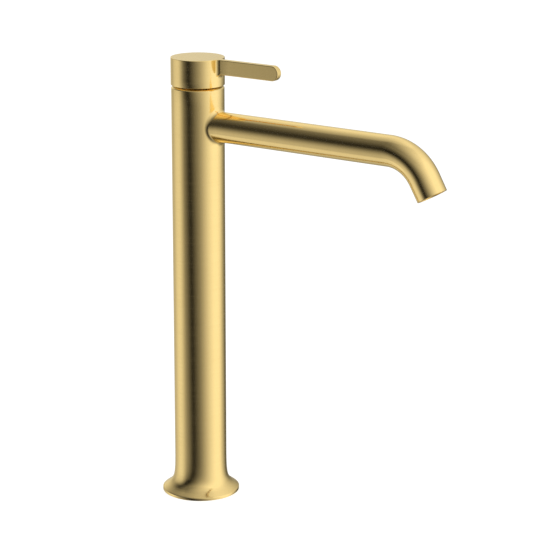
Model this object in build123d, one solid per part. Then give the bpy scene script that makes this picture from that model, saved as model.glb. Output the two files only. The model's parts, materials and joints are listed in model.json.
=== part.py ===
from build123d import *
from math import asin, cos, degrees, hypot, radians, sin, sqrt
import os

# Tall single-lever basin mixer, in millimetres. The origin is the centre of the foot's
# underside, on the deck. +Z runs up the column and +X runs out along the spout. Every
# piece is written to parts/ as its own STEP file.

# Column and foot
column_radius = 20.0
column_wall = 2.0
column_height = 319.2
column_top_chamfer = 1.05
foot_radius = 29.7
foot_rim_height = 2.2
foot_rim_round = 0.6
flare_height = 43.0
flare_hug = 0.82
flare_rim_pull = 12.0
flare_rim_slope = 38.0
foot_lip_height = 5.0
foot_lip_width = 2.6
foot_spigot_height = 5.0
gasket_land = 1.9
gasket_width = 3.5
gasket_thickness = 1.2

# Spout
spout_drop = 28.84
spout_reach = 205.1
spout_radius = 11.4
spout_wall = 1.95
spout_bend_radius = 34.15
spout_bend_angle = 60.0
spout_end_straight = 13.2
spout_end_round = 0.4
boss_length = 4.5
boss_fillet = 3.8
spigot_length = 4.0
spigot_step = 1.1

# Aerator in the spout's end
aerator_thread_step = 0.4
aerator_recess = 1.0
aerator_length = 9.0
aerator_wall = 1.4
aerator_lip = 0.8
aerator_lip_height = 1.0
aerator_seal_height = 1.0
aerator_insert_height = 6.5
aerator_cell_flat = 2.1
aerator_cell_web = 0.5
aerator_cell_rings = 3
aerator_key_width = 1.6
aerator_key_depth = 0.6

# Handle: a cap with a lever blade, cast in one
handle_gap = 1.2
handle_overhang = 0.27
handle_height = 20.8
handle_skirt_wall = 1.17
handle_roof = 6.0
handle_edge_round = 0.3
handle_lower_chamfer = 0.3
blade_reach = 74.3
blade_height = 11.2
blade_thickness = 4.82
blade_edge_round = 0.4
blade_root_fillet = 3.2

# Lever mechanism
pivot_drop = 14.0
lift_range = 24.0
turn_range = 45.0
stem_width = 8.0
stem_top = 30.0
stem_foot = 3.6
stem_top_chamfer = 0.6
stem_arm_radius = 2.0
stem_ball_radius = 2.9
stem_ball_arm = 8.5
stem_pin_radius = 1.5
stem_pin_end_gap = 0.4
insert_radius = 8.5
insert_bottom = 22.5
insert_spigot_radius = 7.5
insert_spigot_height = 2.4
grub_radius = 2.5
grub_length = 6.5
grub_socket_radius = 1.3
grub_socket_depth = 3.0
grub_height = 25.6
plug_radius = 3.0

# Cover ring under the handle, and the nut that clamps the cartridge
dome_gap = 1.2
cover_ring_wall = 1.55
cover_ring_edge = 0.5
nut_height = 6.0
nut_notch_count = 4
nut_notch_width = 4.0
nut_notch_depth = 2.0

# Turret that turns in the cartridge, and the ring that stops it
turret_radius = 10.1
turret_top = 5.5
turret_bottom = 5.3
turret_key_depth = 3.2
turret_key_width = 1.6
turret_lug_width = 3.0
turret_lug_height = 2.0
turret_lug_inner = 7.9
turret_lug_outer = 9.2
stop_ring_inner = 9.4
stop_ring_height = 2.9
stop_clearance_angle = 0.5

# Cartridge
housing_radius = 14.0
housing_neck_radius = 11.5
housing_neck_height = 8.5
housing_bore_radius = 12.6
carrier_radius = 10.4
carrier_height = 6.2
carrier_plate_height = 2.8
carrier_peg_radius = 1.2
carrier_peg_height = 1.2
carrier_peg_place = 5.5
moving_disc_radius = 10.6
disc_height = 3.0
mix_pocket_length = 8.3
mix_pocket_width = 16.0
mix_pocket_depth = 1.6
mix_pocket_corner = 3.0
mix_pocket_shift = 0.98
cartridge_base_height = 4.0
cartridge_flange_height = 2.0
locating_peg_radius = 1.3
locating_peg_height = 2.0
locating_peg_x = -6.5
locating_peg_y = 8.6
inlet_x = 4.5
inlet_y = 7.4
inlet_port_radius = 2.3
outlet_x = -4.8
outlet_port_radius = 3.0
port_seal_width = 1.2
port_seal_height = 1.0

# Valve body and the pipework below it
valve_port_drop = 6.9
valve_port_radius = 3.4
valve_body_foot = 13.5
valve_pocket_depth = 1.75
valve_pocket_width = 12.0
valve_rim_gap = 0.2
body_seal_groove = 1.6
body_seal_height = 2.0
body_seal_inset = 3.3
valve_bore_radius = 2.8
riser_radius = 5.0
riser_wall = 1.0
riser_socket_depth = 7.0
riser_seal_width = 1.2
riser_seal_height = 2.0
seal_edge = 0.3
inlet_block_height = 31.0
inlet_thread_radius = 4.5
inlet_thread_depth = 12.0
inlet_bore_radius = 3.6
stud_thread_radius = 3.4
stud_thread_depth = 14.0
stud_x = -9.0

# Clearances
fit_gap = 0.05
running_gap = 0.1
slide_gap = 0.15
seal_gap = 0.02
beyond = 5.0

# Places worked out from the sizes
column_bore = column_radius - column_wall
foot_spigot = column_radius - column_wall / 2
spout_height = column_height - spout_drop
lip_opening = column_bore - foot_lip_width
inner_radius = column_bore - fit_gap
gasket_outer = foot_radius - gasket_land
gasket_inner = gasket_outer - gasket_width
cap_radius = column_radius + handle_overhang
cap_bottom = column_height + handle_gap
cap_top = cap_bottom + handle_height
cap_roof = cap_top - handle_roof
skirt_inner = cap_radius - handle_skirt_wall
blade_top = cap_top
blade_bottom = blade_top - blade_height
root_half_width = blade_thickness / 2 + blade_root_fillet
root_half_width *= cap_radius / (cap_radius + blade_root_fillet)
pivot_z = cap_bottom - pivot_drop
dome_radius = hypot(skirt_inner, pivot_drop) - dome_gap
half_lift = lift_range / 2
mix_offset = -stem_ball_arm * sin(radians(half_lift))
housing_turret_bore = turret_radius + running_gap
turret_floor = pivot_z - turret_bottom
carrier_top = turret_floor - running_gap
carrier_bottom = carrier_top - carrier_height
fixed_disc_top = carrier_bottom - disc_height
base_top = fixed_disc_top - disc_height
base_bottom = base_top - cartridge_base_height
housing_bottom = base_bottom + cartridge_flange_height
spout_bore = spout_radius - spout_wall
boss_end = column_radius + boss_length
bend_start = spout_reach - spout_end_straight * cos(radians(spout_bend_angle))
bend_start -= spout_bend_radius * sin(radians(spout_bend_angle))
outlet_drop = spout_bend_radius * (1 - cos(radians(spout_bend_angle)))
outlet_drop += spout_end_straight * sin(radians(spout_bend_angle))
outlet_plane = Plane(
    origin=(spout_reach, 0, spout_height - outlet_drop),
    x_dir=(0, 1, 0),
    z_dir=(-cos(radians(spout_bend_angle)), 0, sin(radians(spout_bend_angle))),
)
aerator_bore = spout_bore + aerator_thread_step
aerator_seat = aerator_recess + aerator_length + aerator_seal_height
valve_port_z = base_bottom - valve_port_drop
valve_body_bottom = valve_port_z - valve_body_foot
valve_body_top = pivot_z - valve_rim_gap
inlets = ((inlet_x, -inlet_y), (inlet_x, inlet_y))
ports = (
    (inlet_x, -inlet_y, inlet_port_radius),
    (inlet_x, inlet_y, inlet_port_radius),
    (outlet_x, 0, outlet_port_radius),
)


def rod(radius, low, high, x=0.0, y=0.0):
    """Upright cylinder from low to high, its seam turned to the rear."""
    place = Pos(x, y, (low + high) / 2) * Rot(0, 0, 180)
    return place * Cylinder(radius, high - low)


def ring(outer, inner, low, high, x=0.0, y=0.0):
    return rod(outer, low, high, x, y) - rod(inner, low - beyond, high + beyond, x, y)


def rod_x(radius, low, high, z):
    """Cylinder along X from low to high at height z."""
    return Pos((low + high) / 2, 0, z) * Rot(0, 90, 0) * Cylinder(radius, high - low)


def soft_ring(outer, inner, low, high, x=0.0, y=0.0):
    """Seal ring with its edges eased."""
    body = ring(outer - seal_gap, inner + seal_gap, low, high, x, y)
    return chamfer(body.edges().filter_by(GeomType.CIRCLE), seal_edge)


def spin(outline):
    """Solid of revolution of an outline drawn as radius and height, seam to the rear."""
    face = make_face(Plane.XZ * outline)
    return Rot(0, 0, 180) * revolve(face, Axis.Z)


def edges_at_radius(solid, radius, low, high):
    """Edges in front of the axis whose midpoints lie at one radius between two heights."""
    picked = ShapeList()
    for edge in solid.edges():
        middle = edge @ 0.5
        near = abs(hypot(middle.X, middle.Y) - radius) < handle_edge_round / 2
        if near and middle.X > 0 and low < middle.Z < high:
            picked.append(edge)
    return picked


def foot_outline():
    slope = radians(flare_rim_slope)
    rim_radius = foot_radius - foot_rim_round
    rim_top = foot_rim_height
    shoulder = (rim_radius, rim_top)
    flare = Bezier(
        (column_radius, flare_height),
        (column_radius, flare_height * (1 - flare_hug)),
        (rim_radius - flare_rim_pull * cos(slope), rim_top + flare_rim_pull * sin(slope)),
        shoulder,
    )
    rim = Line((foot_radius, rim_top - foot_rim_round), (foot_radius, 0))
    corner = Bezier(
        shoulder,
        (foot_radius, rim_top - foot_rim_round * sin(slope)),
        (foot_radius, rim_top - foot_rim_round),
    )
    return flare + corner + rim


def foot():
    """Turned foot: the flare, a lip that carries the inlet block, and a spigot for the tube."""
    outline = foot_outline()
    outline += Polyline(
        (foot_radius, 0), (lip_opening, 0), (lip_opening, foot_lip_height),
        (column_bore, foot_lip_height), (column_bore, flare_height + foot_spigot_height),
        (foot_spigot, flare_height + foot_spigot_height), (foot_spigot, flare_height),
        (column_radius, flare_height),
    )
    return spin(outline) - ring(gasket_outer, gasket_inner, -beyond, gasket_thickness)


def column():
    """Column tube with the spout's boss, filleted into it and polished as one."""
    top = column_height
    tube = rod(column_radius, flare_height, top)
    tube = chamfer(tube.edges().group_by(Axis.Z)[-1], column_top_chamfer)
    tube += rod_x(spout_radius, 0, boss_end, spout_height)
    reach = spout_radius + boss_fillet
    root = ShapeList(
        edge for edge in tube.edges()
        if edge.geom_type not in (GeomType.CIRCLE, GeomType.LINE)
        and abs(edge.center().Z - spout_height) < reach
    )
    tube = fillet(root, boss_fillet)
    tube -= rod(column_bore, flare_height - beyond, top + beyond)
    tube -= rod(foot_spigot + fit_gap, flare_height - beyond, flare_height + foot_spigot_height)
    tube -= rod_x(spout_bore, column_bore / 2, boss_end + beyond, spout_height)
    socket_radius = spout_radius - spigot_step + fit_gap
    tube -= rod_x(socket_radius, boss_end - spigot_length, boss_end + beyond, spout_height)
    return tube


def base_gasket():
    return ring(gasket_outer - fit_gap, gasket_inner + fit_gap, 0, gasket_thickness)


def spout_path(start):
    straight = Line((start, spout_height), (bend_start, spout_height))
    bend = JernArc(
        start=(bend_start, spout_height),
        tangent=(1, 0),
        radius=spout_bend_radius,
        arc_size=-spout_bend_angle,
    )
    end = Line(bend @ 1, (bend @ 1) + spout_end_straight * (bend % 1))
    return Plane.XZ * (straight + bend + end)


def swept_rod(radius, start):
    path = spout_path(start)
    section = Plane(origin=path @ 0, z_dir=path % 0) * Circle(radius)
    return sweep(section, path=path)


def spout_tube():
    tube = swept_rod(spout_radius, boss_end)
    tube += rod_x(spout_radius - spigot_step, boss_end - spigot_length, boss_end, spout_height)
    tube -= swept_rod(spout_bore, boss_end)
    tube -= rod_x(spout_bore, boss_end - spigot_length - beyond, boss_end, spout_height)
    tube -= outlet_plane * rod(aerator_bore, -beyond, aerator_seat)
    rim = ShapeList(
        edge for edge in tube.edges().filter_by(GeomType.CIRCLE)
        if abs(outlet_plane.to_local_coords(edge.center()).Z) < fit_gap
    )
    return fillet(rim, spout_end_round)


def aerator_housing():
    outer = aerator_bore - fit_gap
    low = aerator_recess
    high = low + aerator_length
    shell = rod(outer, low, high)
    shell -= rod(outer - aerator_wall, low + aerator_lip_height, high + beyond)
    shell -= rod(outer - aerator_wall - aerator_lip, low - beyond, high)
    key = Pos(0, 0, low) * Box(4 * outer, aerator_key_width, 2 * aerator_key_depth)
    shell -= key
    shell -= Rot(0, 0, 90) * key
    return outlet_plane * shell


def aerator_insert():
    """Cartridge of the aerator, with honeycomb cells that straighten the stream."""
    low = aerator_recess + aerator_lip_height
    high = low + aerator_insert_height
    body = rod(aerator_bore - fit_gap - aerator_wall - fit_gap, low, high)
    pitch = aerator_cell_flat + aerator_cell_web
    steps = range(1 - aerator_cell_rings, aerator_cell_rings)
    cells = Sketch()
    for row in steps:
        for column_step in steps:
            if abs(row + column_step) < aerator_cell_rings:
                x = pitch * (column_step + row / 2)
                y = pitch * row * sqrt(3) / 2
                cells += Pos(x, y) * RegularPolygon(
                    aerator_cell_flat / 2, 6, major_radius=False, rotation=30
                )
    body -= Pos(0, 0, low - beyond) * extrude(cells, high - low + 2 * beyond)
    return outlet_plane * body


def aerator_seal():
    low = aerator_recess + aerator_length
    outer = aerator_bore - fit_gap
    return outlet_plane * ring(outer, outer - aerator_wall, low, low + aerator_seal_height)


def inlet_block():
    """Brass block in the foot: hose threads and the stud thread below, risers above."""
    top = inlet_block_height
    block = rod(inner_radius, foot_lip_height, top)
    block += rod(lip_opening - fit_gap, 0, foot_lip_height)
    for x, y in inlets:
        block -= rod(inlet_thread_radius, -beyond, inlet_thread_depth, x, y)
        block -= rod(inlet_bore_radius, 0, top, x, y)
        block -= rod(riser_radius + fit_gap, top - riser_socket_depth, top + beyond, x, y)
        seal_radius = riser_radius + riser_seal_width
        block -= rod(seal_radius, top - riser_seal_height, top + beyond, x, y)
    block -= rod(stud_thread_radius, -beyond, stud_thread_depth, stud_x)
    return block


def riser(side):
    x, y = inlets[side]
    low = inlet_block_height - riser_socket_depth
    high = valve_body_bottom + riser_socket_depth
    return ring(riser_radius, riser_radius - riser_wall, low, high, x, y)


def riser_seals():
    outer = riser_radius + riser_seal_width
    rings = []
    for low in (inlet_block_height - riser_seal_height, valve_body_bottom):
        for x, y in inlets:
            rings.append(soft_ring(outer, riser_radius, low, low + riser_seal_height, x, y))
    return Compound(rings)


def body_seal_levels():
    half = body_seal_height / 2
    for z in (valve_body_bottom + body_seal_inset, valve_body_top - body_seal_inset):
        yield z - half, z + half


def valve_body():
    """Manifold in the column's head: seat for the cartridge and ways to the spout."""
    low = valve_body_bottom
    body = rod(inner_radius, low, valve_body_top)
    body -= rod(housing_radius + fit_gap, base_bottom, valve_body_top + beyond)
    for x, y in inlets:
        body -= rod(valve_bore_radius, low, base_bottom + beyond, x, y)
        body -= rod(riser_radius + fit_gap, low - beyond, low + riser_socket_depth, x, y)
        seal_radius = riser_radius + riser_seal_width
        body -= rod(seal_radius, low - beyond, low + riser_seal_height, x, y)
    body -= rod(outlet_port_radius, valve_port_z, base_bottom + beyond, outlet_x)
    body -= rod_x(valve_port_radius, outlet_x, column_radius, valve_port_z)
    pocket_low = valve_port_z - valve_port_radius
    pocket_high = spout_height + spout_bore
    body -= Pos(inner_radius, 0, (pocket_low + pocket_high) / 2) * Box(
        2 * valve_pocket_depth, valve_pocket_width, pocket_high - pocket_low
    )
    for groove_low, groove_high in body_seal_levels():
        body -= ring(column_bore + beyond, column_bore - body_seal_groove, groove_low, groove_high)
    for side in (-1, 1):
        peg_low = base_bottom - locating_peg_height - fit_gap
        body -= rod(
            locating_peg_radius + fit_gap, peg_low, base_bottom + beyond,
            locating_peg_x, side * locating_peg_y,
        )
    return body


def valve_body_seals():
    inner = column_bore - body_seal_groove
    return Compound([soft_ring(column_bore, inner, low, high) for low, high in body_seal_levels()])


def cartridge_base():
    """Foot of the cartridge, with the water ways and a seal seat at each end of each."""
    base = rod(housing_bore_radius - fit_gap, base_bottom, base_top)
    base += rod(housing_radius, base_bottom, housing_bottom)
    for x, y, radius in ports:
        seat = radius + port_seal_width
        base -= rod(radius, base_bottom - beyond, base_top + beyond, x, y)
        base -= rod(seat, base_bottom - beyond, base_bottom + port_seal_height, x, y)
        base -= rod(seat, base_top - port_seal_height, base_top + beyond, x, y)
    for side in (-1, 1):
        low = base_bottom - locating_peg_height
        base += rod(locating_peg_radius, low, base_bottom, locating_peg_x, side * locating_peg_y)
    return base


def port_seals(low):
    seals = []
    for x, y, radius in ports:
        outer = radius + port_seal_width - fit_gap
        seals.append(ring(outer, radius, low, low + port_seal_height, x, y))
    return Compound(seals)


def fixed_disc():
    disc = rod(housing_bore_radius - fit_gap, base_top, fixed_disc_top)
    for x, y, radius in ports:
        disc -= rod(radius, base_top - beyond, fixed_disc_top + beyond, x, y)
    return disc


def peg_places():
    return [(mix_offset + carrier_peg_place, side * carrier_peg_place) for side in (-1, 1)]


def moving_disc():
    """Upper ceramic disc, with a pocket below that joins the inlets to the outlet."""
    low = fixed_disc_top
    disc = rod(moving_disc_radius, low, carrier_bottom, mix_offset)
    pocket = RectangleRounded(mix_pocket_length, mix_pocket_width, mix_pocket_corner)
    pocket_x = mix_offset - mix_pocket_shift
    disc -= Pos(pocket_x, 0, low - beyond) * extrude(pocket, beyond + mix_pocket_depth)
    for x, y in peg_places():
        hole_low = carrier_bottom - carrier_peg_height - fit_gap
        disc -= rod(carrier_peg_radius + fit_gap, hole_low, carrier_bottom + beyond, x, y)
    return disc


def disc_carrier():
    """Slide that the stem's ball pushes, guided by flats between the turret's keys."""
    plate_top = carrier_bottom + carrier_plate_height
    body = rod(carrier_radius, carrier_bottom, carrier_top, mix_offset)
    flat = turret_radius - turret_key_width - running_gap
    for side in (-1, 1):
        body -= Pos(mix_offset, side * (flat + carrier_radius), plate_top + carrier_height) * Box(
            4 * carrier_radius, 2 * carrier_radius, 2 * carrier_height
        )
    ball_hole = stem_ball_radius + slide_gap
    body -= rod(ball_hole, carrier_bottom - beyond, carrier_top + beyond, mix_offset)
    for x, y in peg_places():
        body += rod(carrier_peg_radius, carrier_bottom - carrier_peg_height, carrier_bottom, x, y)
    return body


def cartridge_housing():
    neck_top = pivot_z + housing_neck_height
    body = rod(housing_radius, housing_bottom, pivot_z)
    body += rod(housing_neck_radius, pivot_z, neck_top)
    body -= rod(housing_turret_bore, housing_bottom, neck_top + beyond)
    body -= rod(housing_bore_radius, housing_bottom - beyond, turret_floor + running_gap)
    return body


def cartridge_nut():
    top = pivot_z + nut_height
    nut = ring(inner_radius, housing_neck_radius + fit_gap, pivot_z, top)
    for step in range(nut_notch_count):
        notch = Pos(inner_radius, 0, top) * Box(
            inner_radius - housing_neck_radius, nut_notch_width, 2 * nut_notch_depth
        )
        nut -= Rot(0, 0, 45 + step * 360 / nut_notch_count) * notch
    return nut


def cover_ring():
    """Ring that closes the column; its outside is part of a sphere about the lever's pivot."""
    seat = pivot_z + nut_height
    inner = inner_radius - cover_ring_wall
    crown = inner + cover_ring_edge
    rim = sqrt(dome_radius ** 2 - (column_height - pivot_z) ** 2)
    crown_z = pivot_z + sqrt(dome_radius ** 2 - crown ** 2)
    middle = (rim + crown) / 2
    middle_z = pivot_z + sqrt(dome_radius ** 2 - middle ** 2)
    outline = Polyline(
        (crown, crown_z), (inner, crown_z), (inner, seat), (inner_radius, seat),
        (inner_radius, column_height), (rim, column_height),
    )
    outline += ThreePointArc((rim, column_height), (middle, middle_z), (crown, crown_z))
    return spin(outline)


def stem_slot():
    """Way for the stem through the turret, with walls that stop it shut and fully lifted."""
    slope = sin(radians(lift_range)) / cos(radians(lift_range))
    front = stem_width / 2 + slide_gap
    waist = front / cos(radians(lift_range))
    corner = (waist - front) / slope
    low = turret_bottom + turret_key_depth + beyond
    high = turret_top + turret_lug_height + beyond
    outline = Polyline(
        (front, high), (-waist - high * slope, high), (-front, -corner), (-front, -low),
        (waist + low * slope, -low), (front, corner), close=True,
    )
    face = make_face(Plane.XZ * outline)
    return Pos(0, 0, pivot_z) * extrude(face, front, both=True)


def turret():
    """Carrier of the lever: it turns in the cartridge and holds the lever's cross pin."""
    top = pivot_z + turret_top
    body = rod(turret_radius, turret_floor, top)
    keys = rod(turret_radius, turret_floor - turret_key_depth, turret_floor)
    keys -= Pos(0, 0, turret_floor) * Box(
        4 * turret_radius, 2 * (turret_radius - turret_key_width), 4 * turret_key_depth
    )
    lugs = ring(turret_lug_outer, turret_lug_inner, top, top + turret_lug_height)
    lugs &= Pos(0, 0, top) * Box(turret_lug_width, 4 * turret_radius, 4 * turret_lug_height)
    body = body + keys + lugs
    body -= stem_slot()
    body -= Pos(0, 0, pivot_z) * Rot(90, 0, 0) * Cylinder(stem_pin_radius, 4 * turret_radius)
    return body


def stem_pin():
    length = 2 * (turret_radius - stem_pin_end_gap)
    return Pos(0, 0, pivot_z) * Rot(90, 0, 0) * Cylinder(stem_pin_radius, length)


def temperature_stop_ring():
    """Ring in the cartridge's neck; its tab stops the turret's lugs at each end of the turn."""
    low = pivot_z + turret_top + running_gap
    high = low + stop_ring_height
    body = ring(housing_turret_bore - fit_gap, stop_ring_inner, low, high)
    lug_angle = degrees(asin(turret_lug_width / 2 / turret_lug_inner))
    tab_angle = 90 - turn_range - lug_angle - stop_clearance_angle
    edge_y = 2 * turret_radius * sin(radians(tab_angle))
    edge_x = 2 * turret_radius * cos(radians(tab_angle))
    wedge = make_face(Polyline((0, 0), (edge_x, -edge_y), (edge_x, edge_y), close=True))
    tab = ring(stop_ring_inner + fit_gap, turret_lug_inner, low, high)
    tab &= Pos(0, 0, low) * extrude(wedge, stop_ring_height)
    return body + tab


def stem():
    """Lever stem: square above, cranked below the pin to a ball that moves the disc."""
    height = stem_top + stem_foot
    square = Pos(0, 0, height / 2 - stem_foot) * Box(stem_width, stem_width, height)
    square = chamfer(square.faces().sort_by(Axis.Z)[-1].edges(), stem_top_chamfer)
    arm = Pos(0, 0, -stem_ball_arm / 2) * Cylinder(stem_arm_radius, stem_ball_arm)
    arm += Pos(0, 0, -stem_ball_arm) * Sphere(stem_ball_radius)
    body = square + Rot(0, half_lift, 0) * arm
    body -= Rot(90, 0, 0) * Cylinder(stem_pin_radius + fit_gap, 4 * stem_width)
    return Pos(0, 0, pivot_z) * body


def blade():
    """Lever blade with a full half-round end, standing on edge."""
    radius = blade_height / 2
    centre_z = blade_bottom + radius
    tip = blade_reach - radius
    outline = Line((0, blade_bottom), (tip, blade_bottom))
    outline += ThreePointArc((tip, blade_bottom), (blade_reach, centre_z), (tip, blade_top))
    outline += Line((tip, blade_top), (0, blade_top))
    outline += Line((0, blade_top), (0, blade_bottom))
    plate = extrude(make_face(Plane.XZ * outline), blade_thickness / 2, both=True)
    long_edges = ShapeList(
        edge for edge in plate.edges()
        if abs(abs((edge @ 0.5).Y) - blade_thickness / 2) < fit_gap and (edge @ 0.5).X > fit_gap
    )
    return fillet(long_edges, blade_edge_round)


def lever_handle():
    """Hollow cap and blade; the blade's root is filleted and cut flush with the cap's top."""
    tall = cap_top + beyond
    root = rod(cap_radius, cap_bottom, tall) + blade()
    margin = blade_edge_round
    joint = edges_at_radius(root, cap_radius, blade_bottom - margin, blade_top + margin)
    root = fillet(joint, blade_root_fillet)
    deep = blade_height + 2 * blade_root_fillet
    root &= Pos(blade_reach, 0, blade_top - deep / 2) * Box(
        2 * blade_reach, 2 * (root_half_width + margin), deep
    )
    outline = Polyline(
        (0, cap_bottom),
        (cap_radius - handle_lower_chamfer, cap_bottom),
        (cap_radius, cap_bottom + handle_lower_chamfer),
        (cap_radius, cap_top - handle_edge_round),
    )
    outline += RadiusArc(
        (cap_radius, cap_top - handle_edge_round),
        (cap_radius - handle_edge_round, cap_top),
        -handle_edge_round,
    )
    outline += Polyline((cap_radius - handle_edge_round, cap_top), (0, cap_top), (0, cap_bottom))
    body = spin(outline) + root
    body -= rod(skirt_inner, cap_bottom - beyond, cap_roof)
    spigot_top = cap_roof + insert_spigot_height + fit_gap
    body -= rod(insert_spigot_radius + fit_gap, cap_bottom, spigot_top)
    body -= rod_x(plug_radius + fit_gap, -2 * cap_radius, -insert_radius, pivot_z + grub_height)
    return body


def handle_insert():
    """Socket for the stem's square, pressed into the cap's roof."""
    low = pivot_z + insert_bottom
    high = cap_roof + insert_spigot_height
    body = rod(insert_radius, low, cap_roof)
    body += rod(insert_spigot_radius, cap_roof, high)
    side = stem_width + 2 * fit_gap
    socket_top = pivot_z + stem_top + fit_gap
    body -= Pos(0, 0, (low - beyond + socket_top) / 2) * Box(side, side, socket_top - low + beyond)
    body -= rod_x(grub_radius + fit_gap, -2 * insert_radius, 0, pivot_z + grub_height)
    return body


def handle_grub_screw():
    z = pivot_z + grub_height
    tip = -stem_width / 2 - seal_gap
    head = tip - grub_length
    screw = rod_x(grub_radius, head, tip, z)
    socket = Rot(0, 90, 0) * extrude(RegularPolygon(grub_socket_radius, 6), grub_socket_depth)
    return screw - Pos(head, 0, z) * socket


def screw_plug():
    z = pivot_z + grub_height
    plug = rod_x(plug_radius, -2 * cap_radius, -skirt_inner, z)
    return plug & rod(cap_radius, cap_bottom, cap_top)


pieces = {
    "foot": foot,
    "column": column,
    "base_gasket": base_gasket,
    "inlet_block": inlet_block,
    "hot_riser": lambda: riser(0),
    "cold_riser": lambda: riser(1),
    "riser_seals": riser_seals,
    "valve_body": valve_body,
    "valve_body_seals": valve_body_seals,
    "spout_tube": spout_tube,
    "aerator_housing": aerator_housing,
    "aerator_insert": aerator_insert,
    "aerator_seal": aerator_seal,
    "cartridge_base": cartridge_base,
    "cartridge_seals": lambda: port_seals(base_bottom),
    "disc_seals": lambda: port_seals(base_top - port_seal_height),
    "fixed_disc": fixed_disc,
    "moving_disc": moving_disc,
    "disc_carrier": disc_carrier,
    "cartridge_housing": cartridge_housing,
    "temperature_stop_ring": temperature_stop_ring,
    "cartridge_nut": cartridge_nut,
    "cover_ring": cover_ring,
    "turret": turret,
    "stem_pin": stem_pin,
    "stem": stem,
    "lever_handle": lever_handle,
    "handle_insert": handle_insert,
    "handle_grub_screw": handle_grub_screw,
    "screw_plug": screw_plug,
}

os.makedirs("parts", exist_ok=True)
for name, make in pieces.items():
    export_step(make(), f"parts/{name}.step")
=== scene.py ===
import json
import math

import bmesh
import bpy
import numpy as np
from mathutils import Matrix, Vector


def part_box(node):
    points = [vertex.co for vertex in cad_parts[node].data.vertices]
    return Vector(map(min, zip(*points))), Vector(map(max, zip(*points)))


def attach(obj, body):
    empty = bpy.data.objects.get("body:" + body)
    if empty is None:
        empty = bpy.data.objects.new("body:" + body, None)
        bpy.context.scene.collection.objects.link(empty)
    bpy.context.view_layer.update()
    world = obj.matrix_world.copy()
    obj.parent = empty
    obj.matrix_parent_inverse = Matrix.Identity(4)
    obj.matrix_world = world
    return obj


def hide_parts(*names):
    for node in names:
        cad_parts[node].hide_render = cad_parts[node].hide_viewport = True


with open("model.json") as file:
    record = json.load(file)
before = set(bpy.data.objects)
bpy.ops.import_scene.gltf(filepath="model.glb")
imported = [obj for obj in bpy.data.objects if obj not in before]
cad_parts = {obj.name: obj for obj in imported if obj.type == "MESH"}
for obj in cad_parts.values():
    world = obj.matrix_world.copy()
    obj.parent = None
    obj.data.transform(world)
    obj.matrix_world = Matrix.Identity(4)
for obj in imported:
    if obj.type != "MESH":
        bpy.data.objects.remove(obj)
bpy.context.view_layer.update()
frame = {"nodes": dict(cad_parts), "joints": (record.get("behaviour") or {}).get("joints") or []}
print("frame: loaded", len(frame["nodes"]), "nodes")

millimetre = 0.001
meshing = {
    "columns": 192,        # steps round the column's axis
    "cornerSteps": 3,      # steps over a fine edge
    "weld": 0.00013,       # points nearer than this, in mm, become one
    "sharpAngle": 30.0,    # edges that turn by more stay sharp, in degrees
    "decimals": 3,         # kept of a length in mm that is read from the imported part
}
fullTurn = np.linspace(0, 2 * math.pi, meshing["columns"] + 1)
stepAngle = 2 * math.pi / meshing["columns"]


def inMillimetres(length):
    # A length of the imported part, freed from the last digits of its mesh.
    return round(length / millimetre, meshing["decimals"])


def lowest(node, axis):
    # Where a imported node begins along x, y or z.
    return inMillimetres(getattr(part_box(node)[0], axis))


def highest(node, axis):
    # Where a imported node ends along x, y or z.
    return inMillimetres(getattr(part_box(node)[1], axis))


def intoScene(name, data):
    # Puts a mesh, a lamp or a camera into the scene.
    thing = bpy.data.objects.new(name, data)
    bpy.context.scene.collection.objects.link(thing)
    return thing


def gridCells(rows, columns, start=0):
    # The corners of each cell of a grid of points that are numbered row by row.
    index = start + np.arange(rows * columns).reshape(rows, columns)
    corners = [index[:-1, :-1], index[:-1, 1:], index[1:, 1:], index[1:, :-1]]
    return np.stack(corners, axis=-1).reshape(-1, 4)


def weld(name, patches):
    # Grids of points (rows, columns, 4), each x, y, z and its place across the brushing,
    # become one mesh: points that coincide are merged, and a cell becomes a quad, or a
    # triangle where two of its corners are one point.
    points = np.concatenate([patch.reshape(-1, 4) for patch in patches])
    starts = np.cumsum([0] + [patch.shape[0] * patch.shape[1] for patch in patches])
    cells = np.concatenate([gridCells(*patch.shape[:2], start)
                            for patch, start in zip(patches, starts)])
    keys = np.round(points[:, :3] / meshing["weld"]).astype(np.int64)
    _, first, merged = np.unique(keys, axis=0, return_index=True, return_inverse=True)
    cells = merged.reshape(-1)[cells]
    doubled = cells == np.roll(cells, -1, axis=1)
    repeats = doubled.sum(axis=1)
    quads = cells[repeats == 0]
    triangles = cells[repeats == 1][~doubled[repeats == 1]].reshape(-1, 3)
    mesh = bpy.data.meshes.new(name)
    mesh.from_pydata(points[first, :3] * millimetre, [], quads.tolist() + triangles.tolist())
    brush = mesh.attributes.new("brush", "FLOAT", "POINT")
    brush.data.foreach_set("value", (points[first, 3] * millimetre).astype(np.float32))
    shell = bmesh.new()
    shell.from_mesh(mesh)
    bmesh.ops.recalc_face_normals(shell, faces=shell.faces)
    openEdges = sum(1 for edge in shell.edges if not edge.is_manifold)
    shell.to_mesh(mesh)
    shell.free()
    mesh.shade_smooth()
    mesh.set_sharp_from_angle(angle=math.radians(meshing["sharpAngle"]))
    print(f"{name}: {len(quads) * 2 + len(triangles)} triangles, {openEdges} open edges")
    return intoScene(name, mesh)


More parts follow.
